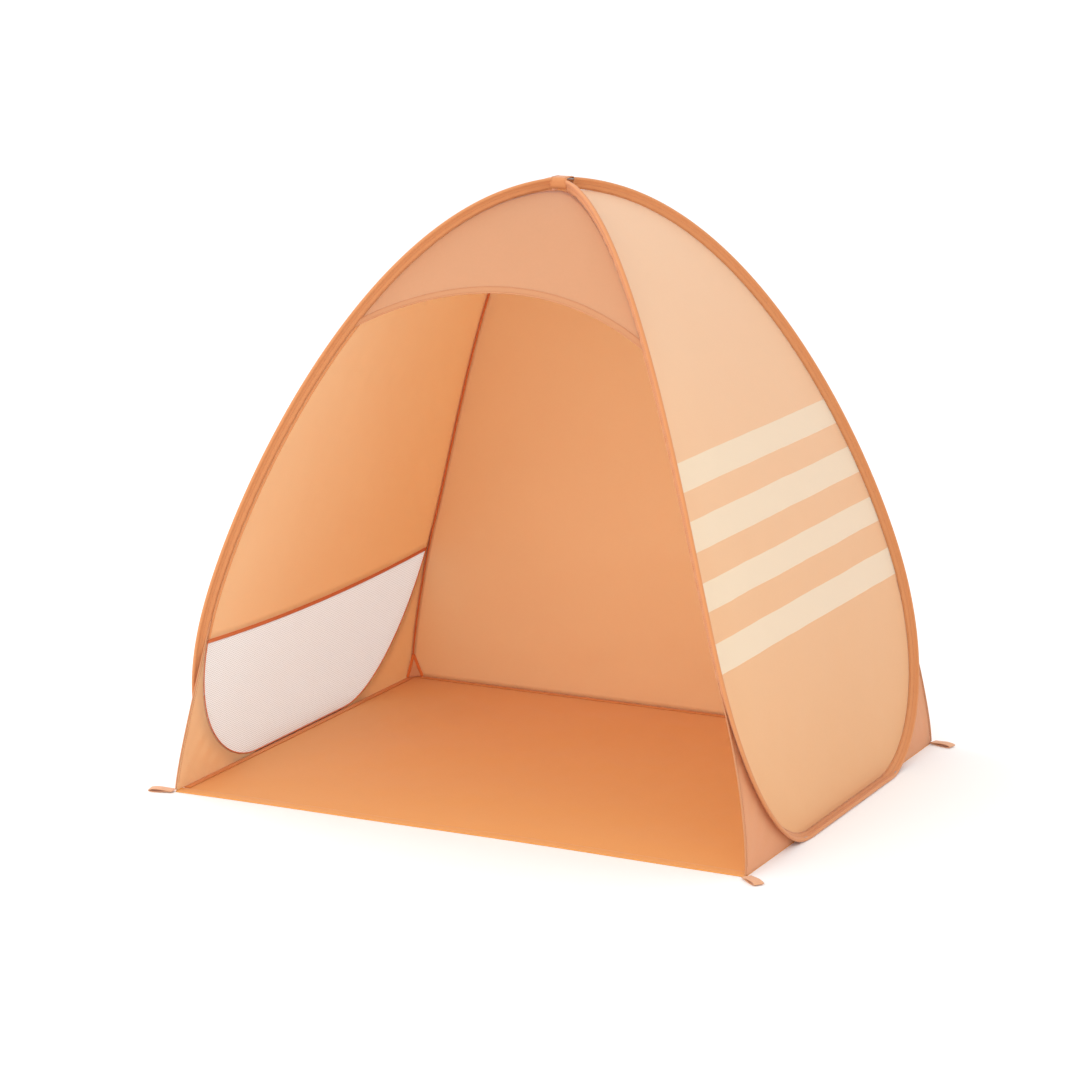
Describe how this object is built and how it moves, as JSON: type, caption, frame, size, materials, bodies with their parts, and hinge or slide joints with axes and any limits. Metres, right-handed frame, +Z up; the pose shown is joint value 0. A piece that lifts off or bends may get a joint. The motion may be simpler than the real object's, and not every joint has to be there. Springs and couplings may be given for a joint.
{
  "type": "pop-up beach shelter",
  "caption": "Small pop-up beach shelter: two sprung wire hoops crossing at the crown, cloth skin, mesh side window, open arched doorway and sewn floor.",
  "frame": {"origin": "on the ground under the crown, midway between the floor's edges", "axes": "+X to the right seen from the doorway, +Y from the doorway to the back wall, +Z up"},
  "size_m": [1.2595, 0.9896, 1.1288],
  "materials": {
    "shell_cloth": "satin",
    "floor_cloth": "satin",
    "channel_tape": "matte",
    "seam_binding": "matte",
    "window_mesh": "matte",
    "webbing": "matte",
    "spring_steel": "satin"
  },
  "bodies": {
    "left_hoop": {"left_hoop_rod": "spring_steel", "left_hoop_sleeve": "channel_tape", "crown_tab": "channel_tape", "left_side_panel": "shell_cloth", "left_window_binding": "seam_binding", "left_mesh_window": "window_mesh", "front_left_gusset": "shell_cloth", "back_left_gusset": "shell_cloth", "front_left_seam_binding": "seam_binding", "back_left_seam_binding": "seam_binding", "back_panel": "shell_cloth", "front_fascia": "shell_cloth", "front_fascia_hem": "shell_cloth", "floor_sheet": "floor_cloth", "floor_front_hem": "floor_cloth", "floor_seam_tape": "seam_binding"},
    "right_hoop": {"right_hoop_rod": "spring_steel", "rod_ferrule": "spring_steel", "right_hoop_sleeve": "channel_tape", "right_side_panel": "shell_cloth", "front_right_gusset": "shell_cloth", "back_right_gusset": "shell_cloth", "front_right_seam_binding": "seam_binding", "back_right_seam_binding": "seam_binding"},
    "front_left_peg_loop": {"front_left_peg_loop": "webbing"},
    "front_right_peg_loop": {"front_right_peg_loop": "webbing"},
    "back_left_peg_loop": {"back_left_peg_loop": "webbing"},
    "back_right_peg_loop": {"back_right_peg_loop": "webbing"}
  },
  "joints": [
    {"name": "fold", "type": "hinge", "parent": "left_hoop", "child": "right_hoop", "pos_m": [0, 0, 1.1135], "axis": [0, 1, 0], "range_deg": [0, 52], "stiffness_Nm_per_rad": 6, "springref_deg": -28.65, "deforming": ["back_panel", "front_fascia", "front_fascia_hem", "floor_sheet", "floor_front_hem", "floor_seam_tape"]},
    {"name": "front_left_loop_flap", "type": "hinge", "parent": "left_hoop", "child": "front_left_peg_loop", "pos_m": [-0.58276, -0.46443, 0.004], "axis": [-0.2419, 0.9703, 0], "range_deg": [0, 85]},
    {"name": "front_right_loop_flap", "type": "hinge", "parent": "right_hoop", "child": "front_right_peg_loop", "pos_m": [0.58122, -0.46753, 0.004], "axis": [-0.6293, -0.7771, 0], "range_deg": [0, 85]},
    {"name": "back_left_loop_flap", "type": "hinge", "parent": "left_hoop", "child": "back_left_peg_loop", "pos_m": [-0.58276, 0.46443, 0.004], "axis": [0.2419, 0.9703, 0], "range_deg": [0, 85]},
    {"name": "back_right_loop_flap", "type": "hinge", "parent": "right_hoop", "child": "back_right_peg_loop", "pos_m": [0.58269, 0.4603, 0.004], "axis": [-0.2756, -0.9613, 0], "range_deg": [0, 85]}
  ]
}
